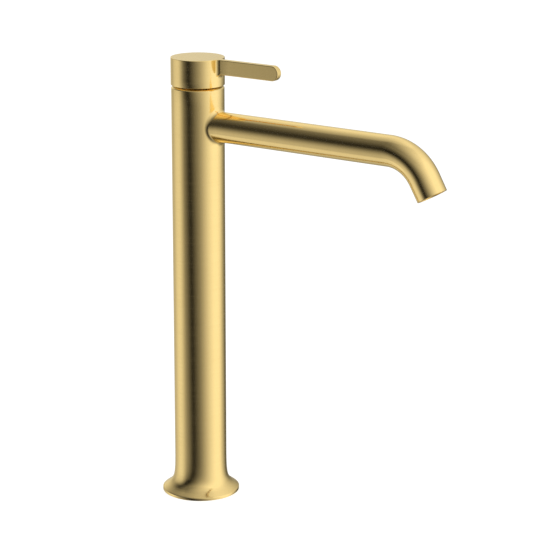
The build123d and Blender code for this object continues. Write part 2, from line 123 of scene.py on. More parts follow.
def softened(corners, steps=meshing["cornerSteps"], kept=None):
    # The points of a closed outline of (a, b, radius), from its first corner to its last:
    # each corner becomes a curve between the two points where a circle of that radius
    # would touch its sides, pulled towards the corner. A number of kept corners leaves
    # out those after them, which then only give the last sides their directions.
    corners = np.array(corners, float)
    at, radius = corners[:, :2], corners[:, 2, None]
    toLast = np.roll(at, 1, axis=0) - at
    toNext = np.roll(at, -1, axis=0) - at
    toLast /= np.linalg.norm(toLast, axis=1, keepdims=True)
    toNext /= np.linalg.norm(toNext, axis=1, keepdims=True)
    inside = np.arccos(np.clip((toLast * toNext).sum(axis=1, keepdims=True), -1, 1))
    reach = radius / np.tan(inside / 2)
    before, after = at + toLast * reach, at + toNext * reach
    t = np.linspace(0, 1, steps + 1)[None, :, None]
    curve = ((1 - t) ** 2 * before[:, None] + 2 * t * (1 - t) * at[:, None]
             + t ** 2 * after[:, None])
    return curve[:kept].reshape(-1, 2)


def bezier(points, steps):
    # Cubic curve: the four points weighted by (1 - t)^3, 3t(1 - t)^2, 3t^2(1 - t), t^3.
    t = np.linspace(0, 1, steps + 1)[:, None]
    p = np.array(points, float)
    return ((1 - t) ** 3 * p[0] + 3 * t * (1 - t) ** 2 * p[1]
            + 3 * t ** 2 * (1 - t) * p[2] + t ** 3 * p[3])


def eased(t):
    # Rises from 0 to 1 and is level at both ends: t^2 (3 - 2t), t kept between 0 and 1.
    t = np.clip(t, 0, 1)
    return t ** 2 * (3 - 2 * t)


def turned(profile, angles=fullTurn):
    # A profile of (radius, height) turned about the column's axis:
    # x = radius cos(angle), y = radius sin(angle), z = height.
    radius, height = np.array(profile, float).T[:, :, None]
    level = np.ones_like(angles)
    return np.stack([radius * np.cos(angles), radius * np.sin(angles), height * level,
                     (height - radius) * level], axis=-1)


def wall(radius, heights, angles=fullTurn):
    # A cylinder's wall at the given heights.
    heights = np.array(heights, float)
    return turned(np.stack([np.full_like(heights, radius), heights], axis=1), angles)


def onWall(ring, radius, middle=0.0):
    # Points given as (angle from the middle, height), on the wall of an upright cylinder.
    angle, height = np.moveaxis(ring, -1, 0)
    angle = angle + middle
    return np.stack([radius * np.cos(angle), radius * np.sin(angle), height,
                     height - radius], axis=-1)


def web(ring, hole, radius, steps, middle=0.0):
    # The wall between a window's rectangle and a hole in it: straight lines in angle and
    # height from each point of the one to the same point of the other.
    t = np.linspace(0, 1, steps + 1)[:, None, None]
    return onWall((1 - t) * ring + t * hole, radius, middle)


def windowRing(halfAngle, rise, across):
    # The rectangle of a window in a wall, as angle and height, from the middle of its
    # left side up, across, down and back; it has twice as many steps as its rise and
    # its way across together.
    up = len(rise) - 1
    turn = np.linspace(halfAngle, -halfAngle, across + 1)
    angle = np.concatenate([np.full(up, halfAngle), turn[:-1],
                            np.full(up, -halfAngle), turn[:0:-1]])
    height = np.concatenate([rise[:-1], np.full(across, rise[-1]),
                             rise[:0:-1], np.full(across, rise[0])])
    ring = np.roll(np.stack([angle, height], axis=1), -up // 2, axis=0)
    return np.vstack([ring, ring[:1]])


def levelHole(wallRadius, holeRadius, height, turns):
    # Where a level round hole leaves an upright wall, as (angle, height): the sine of the
    # angle is the way across, holeRadius cos(turn), over the wall's radius.
    across, up = holeRadius * np.cos(turns), holeRadius * np.sin(turns)
    return np.stack([np.arcsin(across / wallRadius), height + up], axis=1)


def rollingBall(radius, ball, section, outward):
    # A ball rolls round a bar along X, with cross-section (y, z) and its outward
    # directions, in the corner to an upright cylinder: its centre lies one ball's radius
    # off the bar, and x = sqrt((radius + ball)^2 - y^2) from the axis. Gives its centre,
    # where it touches the cylinder, and where it touches the bar.
    centreYz = section + ball * outward
    centreX = np.sqrt((radius + ball) ** 2 - centreYz[:, 0] ** 2)
    centre = np.column_stack([centreX, centreYz])
    onCylinder = centre * [radius / (radius + ball), radius / (radius + ball), 1]
    onBar = np.column_stack([centreX, section])
    return centre, onCylinder, onBar


def arcBetween(centre, start, end, steps):
    # Points on the ball from start to end: the two directions from the centre, weighted
    # by the sines of what is left and what is done of the angle between them.
    radius = np.linalg.norm(start - centre, axis=1, keepdims=True)
    first, last = (start - centre) / radius, (end - centre) / radius
    angle = np.arccos(np.clip((first * last).sum(axis=1, keepdims=True), -1, 1))
    t = np.linspace(0, 1, steps + 1)[:, None, None]
    direction = (np.sin((1 - t) * angle) * first + np.sin(t * angle) * last) / np.sin(angle)
    return centre + radius * direction


def withBrush(points, brush):
    # Adds the place across the brushing to a grid or a ring of points.
    brush = np.broadcast_to(brush, points.shape[:-1])
    return np.concatenate([points, brush[..., None]], axis=-1)


# the foot: radii, and heights above the deck
foot = {
    "radius": highest("foot", "x"), "top": lowest("column", "z"),
    # the flare's inner control points: how far down it hugs the tube, and what pulls it out
    "hug": 7.74, "pull": (19.644, 9.588),
    "rimTop": 2.6, "rimRound": 0.6, "sideTop": 2.0, "edge": 0.15,
    "flareSteps": 56, "rimSteps": 8,
    "spigotRadius": 19.0, "spigotTop": highest("foot", "z"), "bore": 18.0,
    "lipRadius": 15.4, "lipTop": 5.0,
    "gasketInner": 24.3, "gasketOuter": 27.8, "gasketDepth": highest("base_gasket", "z"),
}


def footSkin():
    # The flare leaves the tube upright, hugs it, and swings out to the rim; the rim's
    # edge is a curve of its own, then the side drops straight to the deck.
    rimStart = (foot["radius"] - foot["rimRound"], foot["rimTop"])
    flare = bezier([(column["radius"], foot["top"]), (column["radius"], foot["hug"]),
                    foot["pull"], rimStart], foot["flareSteps"])
    slope = flare[-1] - flare[-2]
    corner = (foot["radius"], foot["rimTop"] + foot["rimRound"] * slope[1] / slope[0])
    rimEnd = (foot["radius"], foot["sideTop"])
    # a curve with the corner as its only control point: as a cubic, its two inner points
    # lie two thirds of the way from either end to the corner
    rim = bezier([rimStart, (np.array(rimStart) + 2 * np.array(corner)) / 3,
                  (2 * np.array(corner) + rimEnd) / 3, rimEnd], foot["rimSteps"])
    side = softened([
        (foot["radius"], foot["sideTop"] / 2, 0), (foot["radius"], 0, foot["edge"]),
        (foot["gasketOuter"], 0, 0), (foot["gasketOuter"], foot["gasketDepth"], 0),
        (foot["gasketInner"], foot["gasketDepth"], 0), (foot["gasketInner"], 0, 0),
        (foot["lipRadius"], 0, foot["edge"]), (foot["lipRadius"], foot["lipTop"], foot["edge"]),
        (foot["bore"], foot["lipTop"], 0), (foot["bore"], foot["spigotTop"], foot["edge"]),
        (foot["spigotRadius"], foot["spigotTop"], foot["edge"]),
        (foot["spigotRadius"], foot["top"], 0), (column["radius"], foot["top"], 0),
    ])
    loop = np.vstack([flare, rim[1:], side, flare[:1]])
    return weld("footSkin", [turned(loop)])


# the column, with the boss that holds the spout
column = {
    "radius": -lowest("column", "x"), "top": highest("column", "z"), "bore": 18.0,
    "chamfer": 1.05, "edge": 0.12, "spigotBore": 19.05,
    "middle": 160.0,       # height of a ring of points about half way up
    # the window in both walls round the boss: half its height, and its steps
    "windowHalfHeight": 17.0, "windowAcross": 48, "windowUp": 48,
    "webSteps": 9, "filletSteps": 10,
}
# one step round the boss and the spout for each step round the column's window
ringTurns = np.linspace(0, 2 * math.pi, 2 * (column["windowAcross"] + column["windowUp"]) + 1)


def barRing(x, radius):
    # A ring about the spout's axis at one place along X.
    y, z = radius * np.cos(ringTurns), radius * np.sin(ringTurns) + spoutHeight
    ring = np.stack([np.full_like(y, x), y, z], axis=1)
    return withBrush(ring, brushBase + x)[None]


def columnSkin():
    # An outer and an inner wall, joined at both ends, each with a window; the window runs
    # over its web and a rolling-ball fillet into the boss, its socket and the water way.
    windowLow = spoutHeight - column["windowHalfHeight"]
    windowHigh = spoutHeight + column["windowHalfHeight"]
    rows = np.linspace(windowLow, windowHigh, column["windowUp"] + 1)
    half = column["windowAcross"] // 2
    closed = fullTurn[half:-half]
    ring = windowRing(half * stepAngle, rows, column["windowAcross"])
    outward = np.stack([np.cos(ringTurns), np.sin(ringTurns)], axis=1)
    section = outward * spout["radius"] + [0, spoutHeight]
    centre, onColumn, onBoss = rollingBall(column["radius"], spout["bossFillet"], section, outward)
    hole = np.stack([np.arctan2(centre[:, 1], centre[:, 0]), centre[:, 2]], axis=1)
    fillet = arcBetween(centre, onColumn, onBoss, column["filletSteps"])
    t = np.linspace(0, 1, column["filletSteps"] + 1)[:, None]
    filletBrush = (1 - t) * (onColumn[:, 2] - column["radius"]) + t * (brushBase + onBoss[:, 0])
    waterWay = levelHole(column["bore"], spout["bore"], spoutHeight, ringTurns)
    branch = np.concatenate([
        web(ring, hole, column["radius"], column["webSteps"])[:-1],
        withBrush(fillet, filletBrush),
        barRing(spout["bossEnd"], spout["radius"]),
        barRing(spout["bossEnd"], spout["socketRadius"]),
        barRing(spout["start"], spout["socketRadius"]),
        barRing(spout["start"], spout["bore"]),
        web(ring, waterWay, column["bore"], column["webSteps"])[::-1],
    ])
    top = softened([
        (column["radius"], column["top"] - column["chamfer"], column["edge"]),
        (column["radius"] - column["chamfer"], column["top"], column["edge"]),
        (column["bore"], column["top"], column["edge"]),
        (column["bore"], windowHigh, 0), (column["radius"], windowHigh, 0),
    ], kept=3)
    foundation = [(column["bore"], foot["spigotTop"]), (column["spigotBore"], foot["spigotTop"]),
                  (column["spigotBore"], foot["top"]), (column["radius"], foot["top"])]
    return weld("columnSkin", [
        wall(column["radius"], [foot["top"], column["middle"], windowLow]),
        wall(column["radius"], rows, closed),
        wall(column["radius"], [windowHigh, top[0, 1]]), turned(top),
        wall(column["bore"], [top[-1, 1], windowHigh]), wall(column["bore"], rows, closed),
        wall(column["bore"], [windowLow, column["middle"], foot["spigotTop"]]),
        turned(foundation), branch,
    ])


# the spout: its path is straight, then bends down, then straight again
spout = {
    "radius": 11.4, "bore": 9.45, "start": lowest("spout_tube", "x"), "spigotRadius": 10.3,
    "bossEnd": highest("column", "x"), "bossFillet": 3.8, "socketRadius": 10.35,
    "bendStart": 168.925, "bendRadius": 34.15, "bendAngle": math.radians(60), "bendSteps": 44,
    "endStraight": 13.2, "endRound": 0.4, "endSteps": 6,
    "aeratorBore": 9.85, "aeratorDepth": 11.0,
    # places along X of rings of points on the straight stretch, outside and in the bore
    "outerRings": (60.0, 100.0, 140.0), "boreRing": 100.0,
}
spoutHeight = highest("spout_tube", "z") - spout["radius"]
pathEnd = spout["bendStart"] + spout["bendRadius"] * spout["bendAngle"] + spout["endStraight"]
# the place across the brushing of the boss and the spout, where x is 0
brushBase = spoutHeight - column["radius"]


def carried(along, radius, angles=ringTurns):
    # A profile of (distance along, radius) carried along the spout's path: straight, then
    # an arc of the bend's radius, then straight. The ring stands square to the path.
    along, radius = np.array(along, float)[:, None] + 0 * angles, np.array(radius, float)[:, None]
    turn = np.clip((along - spout["bendStart"]) / spout["bendRadius"], 0, spout["bendAngle"])
    before = np.minimum(along, spout["bendStart"])
    after = np.maximum(along - (pathEnd - spout["endStraight"]), 0)
    across, up = radius * np.cos(angles), radius * np.sin(angles)
    x = before + spout["bendRadius"] * np.sin(turn) + after * np.cos(turn) + up * np.sin(turn)
    z = (spoutHeight - spout["bendRadius"] * (1 - np.cos(turn)) - after * np.sin(turn)
         + up * np.cos(turn))
    brush = brushBase + along + spout["radius"] - radius
    return np.stack([x, across + 0 * x, z, brush + 0 * x], axis=-1)


def spoutSkin():
    # Tube along the path: outside, rounded mouth, aerator's seat, bore and spigot.
    start, bossEnd = spout["start"], spout["bossEnd"]
    bend = np.linspace(spout["bendStart"], pathEnd - spout["endStraight"], spout["bendSteps"] + 1)
    mouth = softened([
        (pathEnd, spout["radius"], spout["endRound"]),
        (pathEnd, spout["aeratorBore"], spout["endRound"]),
        (pathEnd - spout["aeratorDepth"], spout["aeratorBore"], 0),
        (pathEnd - spout["aeratorDepth"], spout["bore"], 0),
    ], spout["endSteps"])
    parts = [
        # places along the path, and their radius
        ([start, bossEnd], spout["spigotRadius"]),
        ([bossEnd, *spout["outerRings"], *bend], spout["radius"]),
        (mouth[:, 0], mouth[:, 1]),
        ([*bend[::-1], spout["boreRing"], start], spout["bore"]),
        ([start], spout["spigotRadius"]),
    ]
    along = np.concatenate([places for places, _ in parts])
    radius = np.concatenate([np.broadcast_to(size, len(places)) for places, size in parts])
    return weld("spoutSkin", [carried(along, radius)])


# the aerator's housing, deep in the spout's mouth
aerator = {
    "radius": 9.8, "inner": 8.4, "lip": 7.6, "lipHeight": 1.0, "recess": 1.0, "length": 9.0,
    "keyHalfWidth": 0.8, "keyDepth": 0.6, "keys": 4, "keyColumns": 5, "betweenColumns": 22,
}


def aeratorSkin():
    # A ring on the spout's last straight, its lip cut by key slots: between the slots'
    # edges, which are doubled columns, the lip's face lies deeper.
    halfSlot = math.asin(aerator["keyHalfWidth"] / aerator["radius"])
    share = 2 * math.pi / aerator["keys"]
    turns = np.concatenate([np.linspace(-halfSlot, halfSlot, aerator["keyColumns"]),
                            np.linspace(halfSlot, share - halfSlot, aerator["betweenColumns"])])
    inSlot = np.concatenate([np.ones(aerator["keyColumns"]), np.zeros(aerator["betweenColumns"])])
    angles = np.concatenate([turns + key * share for key in range(aerator["keys"])] + [turns[:1]])
    deep = aerator["keyDepth"] * np.append(np.tile(inSlot, aerator["keys"]), inSlot[0])
    front, back = aerator["recess"], aerator["recess"] + aerator["length"]
    lipBack = front + aerator["lipHeight"]
    depth = np.array([front, front, lipBack, lipBack, back, back, front])
    radius = [aerator["radius"], aerator["lip"], aerator["lip"], aerator["inner"],
              aerator["inner"], aerator["radius"], aerator["radius"]]
    patch = carried(pathEnd - depth, radius, angles)
    # the way out of the mouth as x, y and z, and what it adds across the brushing
    outward = np.array([math.cos(spout["bendAngle"]), 0, -math.sin(spout["bendAngle"]), 1])
    patch[[0, 1, -1]] -= deep[:, None] * outward
    return weld("aeratorSkin", [patch])


# the ring that shows in the gap between the column and the cap
coverRing = {
    "inner": 16.4, "outer": 17.95, "seat": lowest("cover_ring", "z"),
    "domeRadius": 22.481, "crown": 16.9, "domeSteps": 14,
}
pivot = inMillimetres(next(joint["pos_m"][2] for joint in frame["joints"]
                           if joint["name"] == "flow_lift"))


def coverRingSkin():
    # The outside is part of a sphere about the lever's pivot, from the column to the crown.
    rimAngle = math.asin((column["top"] - pivot) / coverRing["domeRadius"])
    crownAngle = math.acos(coverRing["crown"] / coverRing["domeRadius"])
    rise = np.linspace(rimAngle, crownAngle, coverRing["domeSteps"] + 1)
    dome = np.stack([coverRing["domeRadius"] * np.cos(rise),
                     pivot + coverRing["domeRadius"] * np.sin(rise)], axis=1)
    inside = [(coverRing["inner"], dome[-1, 1]), (coverRing["inner"], coverRing["seat"]),
              (coverRing["outer"], coverRing["seat"]), (coverRing["outer"], column["top"])]
    return weld("coverRingSkin", [turned(np.vstack([dome, inside, dome[:1]]))])


# the handle: its cap, the blade cast on it, and the plug over its screw
cap = {
    "radius": -lowest("lever_handle", "x"), "bottom": lowest("lever_handle", "z"),
    "top": highest("lever_handle", "z"), "edgeRound": 0.3, "roundSteps": 6,
    "chamfer": 0.3, "edge": 0.1,
    "skirtInner": -highest("screw_plug", "x"), "ceiling": 335.2,
    "seatRadius": 7.55, "seatTop": 337.65,
    "flatStart": 19.5,                 # a ring that keeps the rim's shading off the flat top
    "roundFades": math.radians(8),     # the turn over which the rim's round fades to the blade
    # the window at the front, for the blade, and the steps of its web and of the fillet
    "windowLow": 326.0, "windowAcross": 16, "webSteps": 8, "filletSteps": 8,
}
blade = {
    "reach": highest("lever_handle", "x"), "height": 11.2, "thickness": 4.82,
    "sink": 0.02,                      # how far its top lies under the cap's
    "edgeRound": 0.5, "rootFillet": 3.2,
    "rings": (30.0, 50.0),             # places along X of its rings of points
    "faceSteps": 11, "edgeSteps": 6, "tipSteps": 48,
}
plug = {
    "radius": 3.0, "holeRadius": 3.05, "edge": 0.1,
    "ringsApart": 0.5, "turnSteps": 72,
    # the window at the rear: its first and last row of the cap's wall, and its steps
    "windowRows": (2, 20), "windowAcross": 14, "webSteps": 6,
}
plugHeight = lowest("screw_plug", "z") + plug["radius"]
# the front window's ring has one step for each step round the blade's outline
windowUp = 3 * blade["faceSteps"] + 2 * blade["edgeSteps"] - cap["windowAcross"]


def bladeProfile():
    # Half of the blade's cross-section as (y, distance from its middle line), from the
    # middle of one side over the edge to the middle of the other, with outward directions.
    halfY, halfZ, soft = blade["thickness"] / 2, blade["height"] / 2, blade["edgeRound"]
    face = np.ones(blade["faceSteps"])
    side = np.linspace(0, halfZ - soft, blade["faceSteps"] + 1)[:-1]
    over = np.linspace(halfY - soft, soft - halfY, blade["faceSteps"] + 2)[1:-1]
    turn = np.linspace(0, math.pi / 2, blade["edgeSteps"] + 1)
    y = np.concatenate([halfY * face, halfY - soft + soft * np.cos(turn), over,
                        soft - halfY - soft * np.sin(turn), -halfY * face])
    z = np.concatenate([side, halfZ - soft + soft * np.sin(turn), halfZ * face,
                        halfZ - soft + soft * np.cos(turn), side[::-1]])
    outY = np.concatenate([face, np.cos(turn), 0 * face, -np.sin(turn), -face])
    outZ = np.concatenate([0 * face, np.sin(turn), face, np.cos(turn), 0 * face])
    return np.stack([y, z], axis=1), np.stack([outY, outZ], axis=1)


def bladeBrush(points):
    # Lines run lengthwise: the place across them is the height, then the way over the edge.
    over = np.maximum(blade["thickness"] / 2 - np.abs(points[..., 1]), 0)
    return withBrush(points, points[..., 2] - cap["radius"] + over)


def bladePatches(window):
    # The root is the web round the blade in the cap's window, then a rolling-ball fillet,
    # both cut flush with the blade's top, then the blade itself as far as its round end.
    # The tip is the half profile turned about the middle of that end.
    flat, out = bladeProfile()
    bladeTop = cap["top"] - blade["sink"]
    middle = bladeTop - blade["height"] / 2
    mirror = np.array([1, -1])
    section = np.vstack([flat, (flat * mirror)[-2::-1]]) + [0, middle]
    outward = np.vstack([out, (out * mirror)[-2::-1]])
    centre, onCap, onBlade = rollingBall(cap["radius"], blade["rootFillet"], section, outward)
    fillet = arcBetween(centre, onCap, onBlade, cap["filletSteps"])
    fillet[..., 2] = np.minimum(fillet[..., 2], bladeTop)
    hole = np.stack([np.arctan2(centre[:, 1], centre[:, 0]),
                     np.minimum(centre[:, 2], bladeTop)], axis=1)
    tipCentre = blade["reach"] - blade["height"] / 2
    straight = np.stack([np.column_stack([np.full(len(section), x), section])
                         for x in (*blade["rings"], tipCentre)])
    root = np.concatenate([web(window, hole, cap["radius"], cap["webSteps"])[:-1],
                           bladeBrush(fillet), bladeBrush(straight)])
    turn = np.linspace(math.pi / 2, -math.pi / 2, blade["tipSteps"] + 1)[:, None]
    tip = np.stack([tipCentre + flat[:, 1] * np.cos(turn), flat[:, 0] + 0 * turn,
                    middle + flat[:, 1] * np.sin(turn)], axis=-1)
    return root, bladeBrush(tip)


def screwHole(outerRows, innerRows):
    # The hole through the skirt's rear, for the screw: the outer wall's web, the hole's
    # fine edge, its bore, and the inner wall's web.
    turns = np.linspace(0, 2 * math.pi, 2 * (len(outerRows) - 1 + plug["windowAcross"]) + 1)

    def rearWeb(rows, wallRadius, holeRadius):
        window = windowRing(plug["windowAcross"] // 2 * stepAngle, rows, plug["windowAcross"])
        hole = levelHole(wallRadius, holeRadius, plugHeight, turns)
        return web(window, hole, wallRadius, plug["webSteps"], math.pi)

    lipRadius = cap["radius"] - plug["edge"]
    lip = levelHole(lipRadius, plug["holeRadius"], plugHeight, turns)
    return np.concatenate([
        rearWeb(outerRows, cap["radius"], plug["holeRadius"] + plug["edge"]),
        onWall(lip[None], lipRadius, math.pi),
        rearWeb(innerRows, cap["skirtInner"], plug["holeRadius"])[::-1],
    ])


def crown(angles):
    # The cap's rim and top. The rim is a quarter circle whose radius fades smoothly to
    # nothing beside the blade, because the blade's top lies flush with the cap's.
    clear = np.minimum(angles, 2 * math.pi - angles) - cap["windowAcross"] / 2 * stepAngle
    soft = cap["edgeRound"] * eased(clear / cap["roundFades"])
    level = np.ones_like(soft)
    rise = np.linspace(0, math.pi / 2, cap["roundSteps"] + 1)[:, None]
    radius = np.vstack([cap["radius"] * level, cap["radius"] - soft * (1 - np.cos(rise)),
                        cap["flatStart"] * level, 0 * level])
    height = np.vstack([(cap["top"] - cap["edgeRound"]) * level,
                        cap["top"] - soft * (1 - np.sin(rise)),
                        cap["top"] * level, cap["top"] * level])
    return np.stack([radius * np.cos(angles), radius * np.sin(angles), height, height - radius],
                    axis=-1)


def handleSkin():
    # The cap's wall has a window at the front, which runs over into the blade, and one at
    # the rear, round the screw's hole. A hem joins it to the skirt's inner wall.
    rowsTop = cap["top"] - cap["edgeRound"]
    rows = np.linspace(cap["windowLow"], rowsTop, windowUp + 1)
    half, rearHalf = cap["windowAcross"] // 2, plug["windowAcross"] // 2
    rear = meshing["columns"] // 2
    first, last = plug["windowRows"]
    skirt = cap["skirtInner"]
    innerRows = np.linspace(rows[first], cap["ceiling"], last - first + 1)
    front = windowRing(half * stepAngle, np.append(rows, cap["top"]), cap["windowAcross"])
    root, tip = bladePatches(front)
    # the turns of the wall between its windows, of the rear window, and of the front one,
    # and those of the inner wall, which has a window only at the rear
    between = [fullTurn[half:rear - rearHalf + 1], fullTurn[rear + rearHalf:-half]]
    behind = fullTurn[rear - rearHalf:rear + rearHalf + 1]
    ahead = np.linspace(half, -half, 2 * half + 1) * stepAngle
    within = [fullTurn[:rear - rearHalf + 1], fullTurn[rear + rearHalf:]]
    hem = softened([
        (cap["radius"], cap["bottom"] + cap["chamfer"], cap["edge"]),
        (cap["radius"] - cap["chamfer"], cap["bottom"], cap["edge"]),
        (skirt, cap["bottom"], cap["edge"]),
        (skirt, cap["windowLow"], 0), (cap["radius"], cap["windowLow"], 0),
    ], kept=3)
    top = [(cap["radius"], cap["top"]), (cap["flatStart"], cap["top"]), (0, cap["top"])]
    hollow = [(skirt, cap["ceiling"]), (cap["seatRadius"], cap["ceiling"]),
              (cap["seatRadius"], cap["seatTop"]), (0, cap["seatTop"])]
    patches = [
        wall(cap["radius"], [cap["windowLow"], hem[0, 1]]), turned(hem),
        crown(fullTurn[half:-half]), turned(top, ahead),
        wall(skirt, [hem[-1, 1], innerRows[0]]), turned(hollow),
        screwHole(rows[first:last + 1], innerRows), root, tip,
        wall(cap["radius"], rows[:first + 1], behind), wall(cap["radius"], rows[last:], behind),
    ]
    patches += [wall(cap["radius"], rows, angles) for angles in between]
    patches += [wall(skirt, innerRows, angles) for angles in within]
    return weld("handleSkin", patches)


def plugSkin():
    # Disc whose face follows the cap: x = -sqrt(cap radius^2 - y^2), with a fine edge.
    turns = np.linspace(0, 2 * math.pi, plug["turnSteps"] + 1)
    face = np.arange(0, plug["radius"] - plug["edge"], plug["ringsApart"])
    rim = [plug["radius"] - plug["edge"], plug["radius"]]
    back = [plug["radius"], 0]
    spread = np.concatenate([face, rim, back])[:, None]
    sink = np.concatenate([0 * face, [0, plug["edge"]], [0, 0]])[:, None]
    y, z = spread * np.cos(turns), spread * np.sin(turns) + plugHeight
    x = sink - np.sqrt(cap["radius"] ** 2 - y ** 2)
    x[-len(back):] = -cap["skirtInner"]
    return weld("plugSkin", [withBrush(np.stack([x, y, z], axis=-1), z - cap["radius"])])


footPiece = footSkin()
columnPiece = columnSkin()
spoutPiece = spoutSkin()
aeratorPiece = aeratorSkin()
coverRingPiece = coverRingSkin()
handlePiece = handleSkin()
plugPiece = plugSkin()


class Value:
    # A socket with the usual operators: each adds its Math node to the tree.
    def __init__(self, recipe, socket):
        self.recipe, self.socket = recipe, socket

    def maths(self, operation, *inputs):
        return self.recipe.add("ShaderNodeMath", {"operation": operation},
                               dict(enumerate(inputs)))

    def __add__(self, other):
        return self.maths("ADD", self, other)

    def __sub__(self, other):
        return self.maths("SUBTRACT", self, other)

    def __rsub__(self, other):
        return self.maths("SUBTRACT", other, self)

    def __mul__(self, other):
        return self.maths("MULTIPLY", self, other)

    __radd__, __rmul__ = __add__, __mul__


class Recipe:
    # A node tree, filled one node at a time.
    def __init__(self, owner):
        owner.use_nodes = True
        self.owner, self.tree = owner, owner.node_tree
        self.tree.nodes.clear()

    def add(self, kind, settings=None, sockets=None, out=0):
        # Makes a node: first its settings, then the values or links of its sockets. It
        # gives one of the node's outputs, or nothing where out is None.
        node = self.tree.nodes.new(kind)
        for name, setting in (settings or {}).items():
            setattr(node, name, setting)
        for name, given in (sockets or {}).items():
            if isinstance(given, Value):
                self.tree.links.new(given.socket, node.inputs[name])
            else:
                node.inputs[name].default_value = given
        return None if out is None else Value(self, node.outputs[out])

    def mixColour(self, factor, first, second):
        # The Mix node's colour sockets are its seventh and eighth, its colour its third output.
        return self.add("ShaderNodeMix", {"data_type": "RGBA"},
                        {0: factor, 6: (*first, 1), 7: (*second, 1)}, 2)

    def noise(self, vector, scale, detail=2.0, roughness=0.5):
        return self.add("ShaderNodeTexNoise", None, {
            "Vector": vector, "Scale": scale, "Detail": detail, "Roughness": roughness})

    def place(self):
        return self.add("ShaderNodeTexCoord", out="Object")

    def stretch(self, vector, scale):
        return self.add("ShaderNodeMapping", None, {"Vector": vector, "Scale": scale})

    def bump(self, height, distance):
        return self.add("ShaderNodeBump", None, {
            "Strength": 1.0, "Distance": distance, "Height": height})

    def attribute(self, name):
        return self.add("ShaderNodeAttribute", {"attribute_name": name}, out="Fac")

    def finish(self, sockets):
        shader = self.add("ShaderNodeBsdfPrincipled", None, sockets)
        self.add("ShaderNodeOutputMaterial", None, {"Surface": shader}, None)
        return self.owner


noiseMean = 0.5            # each noise varies round it
gold = {
    "colour": (0.958, 0.720, 0.300), "deep": (0.908, 0.666, 0.266), "roughness": 0.13,
    "linesPerMetre": 2600.0, "lineLength": 0.03, "cloud": 0.02,
    # the noises of the lines, each its scale and detail, and the fine one its roughness:
    # fine and broad lines with their shares of the height, and those that change the gloss
    "fine": (1.0, 3.0, 0.65), "fineShare": 0.7, "broad": (0.23, 2.0), "broadShare": 0.3,
    "gloss": (0.5, 1.0),
    # what the lines and the cloud add to the deep colour, and what is taken off it
    "lineTone": 1.6, "cloudTone": 0.5, "toneOff": 0.1, "cloudGloss": 0.03,
    "coat": 0.035, "coatRoughness": 0.6, "coatIor": 2.5, "edgeTint": (1.0, 0.97, 0.81),
    # how far the lines change the roughness, and their depth in metres
    "turned": (0.4, 0.0000016), "drawn": (0.05, 0.0000003),
}


def brushedGold(name, glossChange, lineDepth):
    # Fine lines: noise that changes fast across the brushing and slowly along it, in the
    # roughness, the bump and a little in the colour, over a soft cloud from the plating.
    recipe = Recipe(bpy.data.materials.new(name))
    place = recipe.place()
    slow = recipe.stretch(place, (1 / gold["lineLength"],) * 3)
    across = recipe.add("ShaderNodeCombineXYZ", None, {
        2: recipe.attribute("brush") * gold["linesPerMetre"]})
    where = recipe.add("ShaderNodeVectorMath", {"operation": "ADD"}, {0: slow, 1: across})
    fine = recipe.noise(where, *gold["fine"])
    broad = recipe.noise(where, *gold["broad"])
    gloss = recipe.noise(where, *gold["gloss"])
    cloud = recipe.noise(place, 1 / gold["cloud"])
    lines = fine * gold["fineShare"] + broad * gold["broadShare"] - noiseMean
    tone = recipe.add("ShaderNodeClamp", None, {
        0: lines * gold["lineTone"] + cloud * gold["cloudTone"] - gold["toneOff"]})
    roughness = (gold["roughness"] + (gloss - noiseMean) * glossChange
                 + (cloud - noiseMean) * gold["cloudGloss"])
    return recipe.finish({
        "Base Color": recipe.mixColour(tone, gold["colour"], gold["deep"]), "Metallic": 1.0,
        "Roughness": roughness, "Normal": recipe.bump(lines, lineDepth),
        "Specular Tint": (*gold["edgeTint"], 1), "Coat Weight": gold["coat"],
        "Coat Roughness": gold["coatRoughness"], "Coat IOR": gold["coatIor"]})


toolMarks = {
    # how fast the marks drift along themselves, the stain's detail and roughness, and how
    # far each changes the gloss
    "drift": 60, "stainNoise": (3.0, 0.6), "markGloss": 0.18, "stainGloss": 0.1,
}
metals = {
    # "marks" and "stainScale" are per metre, "depth" is in metres
    "rawBrass": {"colour": (0.76, 0.58, 0.27), "stain": (0.62, 0.45, 0.19), "roughness": 0.32,
                 "marks": 2200, "stainScale": 120, "depth": 0.000006},
    "drawnCopper": {"colour": (0.84, 0.48, 0.33), "stain": (0.62, 0.31, 0.20), "roughness": 0.34,
                    "marks": 25, "stainScale": 80, "depth": 0.000004},
    "turnedSteel": {"colour": (0.62, 0.62, 0.61), "stain": (0.50, 0.50, 0.50), "roughness": 0.3,
                    "marks": 2600, "stainScale": 140, "depth": 0.000005},
}


def machinedMetal(name, values):
    # Tool marks: rings about the height, close together and slightly uneven, in the
    # roughness and the bump, with a darker stain that drifts over the colour.
    recipe = Recipe(bpy.data.materials.new(name))
    place = recipe.place()
    drift = toolMarks["drift"]
    marks = recipe.noise(recipe.stretch(place, (drift, drift, values["marks"])), 1.0)
    stain = recipe.noise(place, values["stainScale"], *toolMarks["stainNoise"])
    roughness = (values["roughness"] + (marks - noiseMean) * toolMarks["markGloss"]
                 + (stain - noiseMean) * toolMarks["stainGloss"])
    return recipe.finish({
        "Base Color": recipe.mixColour(stain, values["colour"], values["stain"]),
        "Metallic": 1.0, "Roughness": roughness, "Normal": recipe.bump(marks, values["depth"])})


